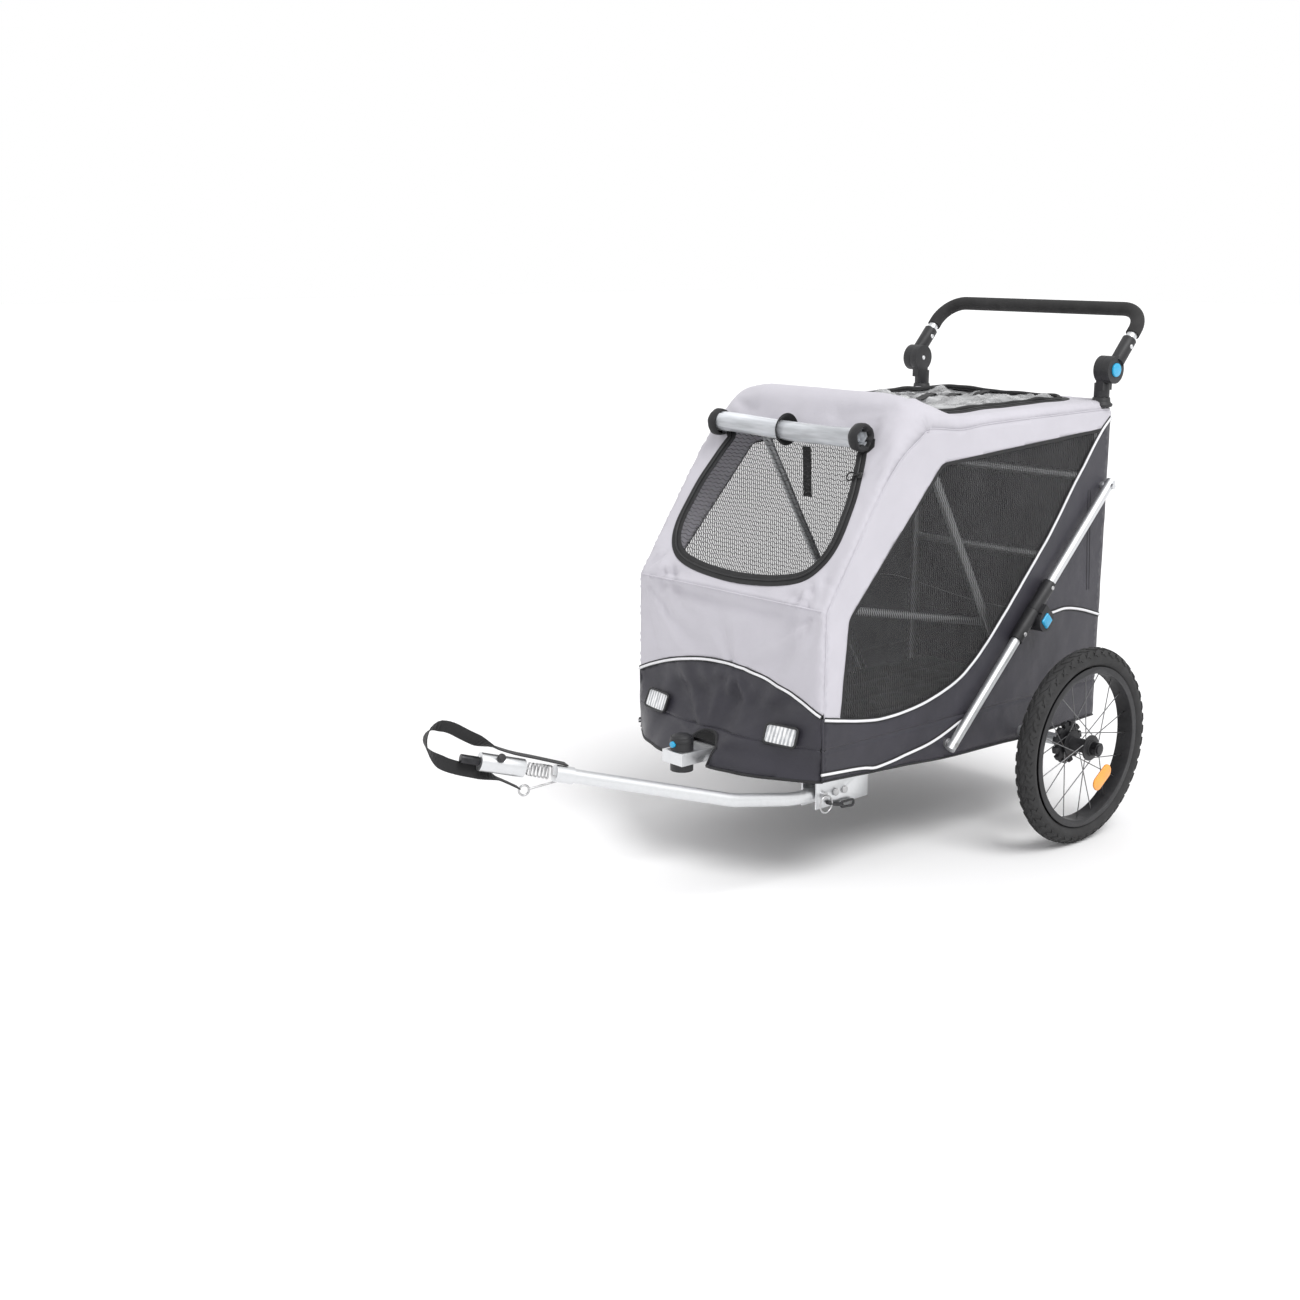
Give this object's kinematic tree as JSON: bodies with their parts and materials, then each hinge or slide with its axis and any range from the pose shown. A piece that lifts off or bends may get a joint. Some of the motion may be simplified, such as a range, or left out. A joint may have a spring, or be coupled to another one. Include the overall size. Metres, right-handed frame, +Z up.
{
  "type": "dog bike trailer",
  "caption": "Folding two-wheel pet trailer: a fabric cabin with mesh windows on a tube frame, a push handle, a front wheel socket and a bent tow bar with a flexible hitch.",
  "frame": {"origin": "middle of the part's box at floor level", "axes": "+Y from the front (hitch) to the rear (handle), +X the trailer's left side, +Z up"},
  "size_m": [0.8966, 1.668, 1.0582],
  "materials": {
    "cover_cloth": "satin coated polyester",
    "slate_cloth": "woven polyester",
    "black_mesh": "fine net",
    "clear_film": "soft clear film",
    "black_cloth": "coarse webbing and binding",
    "silver_tube": "satin anodised",
    "tow_paint": "satin anodised",
    "bright_steel": "zinc plated",
    "dark_steel": "blackened",
    "black_plastic": "fine grained",
    "blue_plastic": "gloss",
    "tyre_rubber": "moulded tread",
    "grip_foam": "matt foam",
    "amber_lens": "prism lens",
    "white_lens": "prism lens"
  },
  "bodies": {
    "base": {"base_frame": "silver_tube", "axle_tube": "silver_tube", "axle_clamps": "bright_steel", "wheel_axles": "dark_steel", "pivot_brackets": "bright_steel", "floor_board": "black_plastic", "floor_mat": "black_cloth", "tow_bracket": "tow_paint", "tow_bracket_bolts": "bright_steel", "tow_bar": "tow_paint", "hitch_spring": "bright_steel", "front_wheel_socket": "black_plastic", "socket_clamp": "silver_tube", "front_reflectors": "white_lens", "tub_skirts": "slate_cloth", "front_lower_panel": "slate_cloth", "rear_tub_wall": "slate_cloth", "lower_side_panels": "slate_cloth", "side_covers": "cover_cloth", "mesh_windows": "black_mesh", "main_cover": "cover_cloth", "front_mesh_door": "black_mesh", "roof_window": "clear_film", "rain_cover_roll": "clear_film", "corner_boots": "black_cloth", "rear_panel": "slate_cloth", "safety_strap": "black_cloth", "strap_hook": "bright_steel"},
    "rear_frame": {"rear_frame_tubes": "silver_tube", "handle_hinge_lowers": "black_plastic"},
    "handle": {"handle_tube": "silver_tube", "handle_grip": "grip_foam", "handle_hinge_uppers": "black_plastic"},
    "roof_bow": {"roof_bow": "silver_tube"},
    "nose_bow": {"nose_bow": "silver_tube"},
    "lower_braces": {"lower_brace_tubes": "silver_tube", "lower_brace_knees": "black_plastic"},
    "upper_braces": {"upper_brace_tubes": "silver_tube", "upper_brace_knees": "black_plastic"},
    "hitch": {"hitch_housing": "silver_tube", "hitch_tongue": "dark_steel"},
    "hitch_knob": {"hitch_knob": "black_plastic"},
    "socket_button": {"socket_button": "blue_plastic"},
    "tow_lock_pin": {"tow_lock_pin": "bright_steel"},
    "left_wheel": {"left_tyre": "tyre_rubber", "left_rim": "black_plastic", "left_spokes": "bright_steel", "left_hub": "black_plastic", "left_wheel_reflector": "amber_lens"},
    "left_axle_button": {"left_axle_button": "black_plastic"},
    "left_brace_button": {"left_brace_button": "blue_plastic"},
    "left_handle_button": {"left_handle_button": "blue_plastic"},
    "right_wheel": {"right_tyre": "tyre_rubber", "right_rim": "black_plastic", "right_spokes": "bright_steel", "right_hub": "black_plastic", "right_wheel_reflector": "amber_lens"},
    "right_axle_button": {"right_axle_button": "black_plastic"},
    "right_brace_button": {"right_brace_button": "blue_plastic"},
    "right_handle_button": {"right_handle_button": "blue_plastic"}
  },
  "joints": [
    {"name": "rear_frame_fold", "type": "hinge", "parent": "base", "child": "rear_frame", "pos_m": [0, 0.71172, 0.208], "axis": [1, 0, 0], "range_deg": [0, 75], "deforming": ["lower_side_panels", "side_covers", "mesh_windows", "main_cover", "front_mesh_door", "roof_window", "rain_cover_roll", "corner_boots", "rear_panel"]},
    {"name": "roof_bow_fold", "type": "hinge", "parent": "base", "child": "roof_bow", "pos_m": [0, 0.50672, 0.25], "axis": [1, 0, 0], "range_deg": [0, 49.6], "deforming": ["lower_side_panels", "side_covers", "mesh_windows", "main_cover", "front_mesh_door", "roof_window", "rain_cover_roll", "corner_boots", "rear_panel"]},
    {"name": "nose_bow_fold", "type": "hinge", "parent": "roof_bow", "child": "nose_bow", "pos_m": [0, 0.40115, 0.42922], "axis": [1, 0, 0], "range_deg": [-46.1, 0], "deforming": ["lower_side_panels", "side_covers", "mesh_windows", "main_cover", "front_mesh_door", "roof_window", "rain_cover_roll", "corner_boots", "rear_panel"]},
    {"name": "lower_brace_fold", "type": "hinge", "parent": "base", "child": "lower_braces", "pos_m": [0, 0.23872, 0.218], "axis": [1, 0, 0], "range_deg": [0, 124.8]},
    {"name": "upper_brace_fold", "type": "hinge", "parent": "lower_braces", "child": "upper_braces", "pos_m": [0, 0.49353, 0.43404], "axis": [1, 0, 0], "range_deg": [-169.3, 0]},
    {"name": "handle_tilt", "type": "hinge", "parent": "rear_frame", "child": "handle", "pos_m": [0, 0.71072, 0.925], "axis": [1, 0, 0], "range_deg": [-60, 20]},
    {"name": "hitch_flex", "type": "hinge", "parent": "base", "child": "hitch", "pos_m": [0.08729, -0.64581, 0.29753], "axis": [0, 0, 1], "range_deg": [-30, 30], "stiffness_Nm_per_rad": 8, "deforming": ["hitch_spring", "safety_strap"]},
    {"name": "hitch_knob_pull", "type": "slide", "parent": "hitch", "child": "hitch_knob", "axis": [0.728, -0.0548, 0.6834], "range_m": [0, 0.004], "stiffness_N_per_m": 400},
    {"name": "socket_button_press", "type": "slide", "parent": "base", "child": "socket_button", "axis": [0, 1, 0], "range_m": [0, 0.003], "stiffness_N_per_m": 400},
    {"name": "tow_lock_pin_pull", "type": "slide", "parent": "base", "child": "tow_lock_pin", "axis": [1, 0, 0], "range_m": [0, 0.045]},
    {"name": "left_wheel_spin", "type": "hinge", "parent": "base", "child": "left_wheel", "pos_m": [0.403, 0.47672, 0.2], "axis": [1, 0, 0], "continuous": true},
    {"name": "left_axle_button_press", "type": "slide", "parent": "base", "child": "left_axle_button", "axis": [-1, 0, 0], "range_m": [0, 0.004], "stiffness_N_per_m": 400},
    {"name": "left_brace_button_press", "type": "slide", "parent": "upper_braces", "child": "left_brace_button", "axis": [-1, 0, 0], "range_m": [0, 0.003], "stiffness_N_per_m": 400},
    {"name": "left_handle_button_press", "type": "slide", "parent": "handle", "child": "left_handle_button", "axis": [-1, 0, 0], "range_m": [0, 0.003], "stiffness_N_per_m": 400},
    {"name": "right_wheel_spin", "type": "hinge", "parent": "base", "child": "right_wheel", "pos_m": [-0.403, 0.47672, 0.2], "axis": [1, 0, 0], "continuous": true},
    {"name": "right_axle_button_press", "type": "slide", "parent": "base", "child": "right_axle_button", "axis": [1, 0, 0], "range_m": [0, 0.004], "stiffness_N_per_m": 400},
    {"name": "right_brace_button_press", "type": "slide", "parent": "upper_braces", "child": "right_brace_button", "axis": [1, 0, 0], "range_m": [0, 0.003], "stiffness_N_per_m": 400},
    {"name": "right_handle_button_press", "type": "slide", "parent": "handle", "child": "right_handle_button", "axis": [1, 0, 0], "range_m": [0, 0.003], "stiffness_N_per_m": 400}
  ],
  "couplings": [
    {"joint": "roof_bow_fold", "follows": "rear_frame_fold", "ratio": 0.66},
    {"joint": "nose_bow_fold", "follows": "rear_frame_fold", "ratio": -0.61333},
    {"joint": "lower_brace_fold", "follows": "rear_frame_fold", "ratio": 1.6623},
    {"joint": "upper_brace_fold", "follows": "rear_frame_fold", "ratio": -2.256}
  ]
}
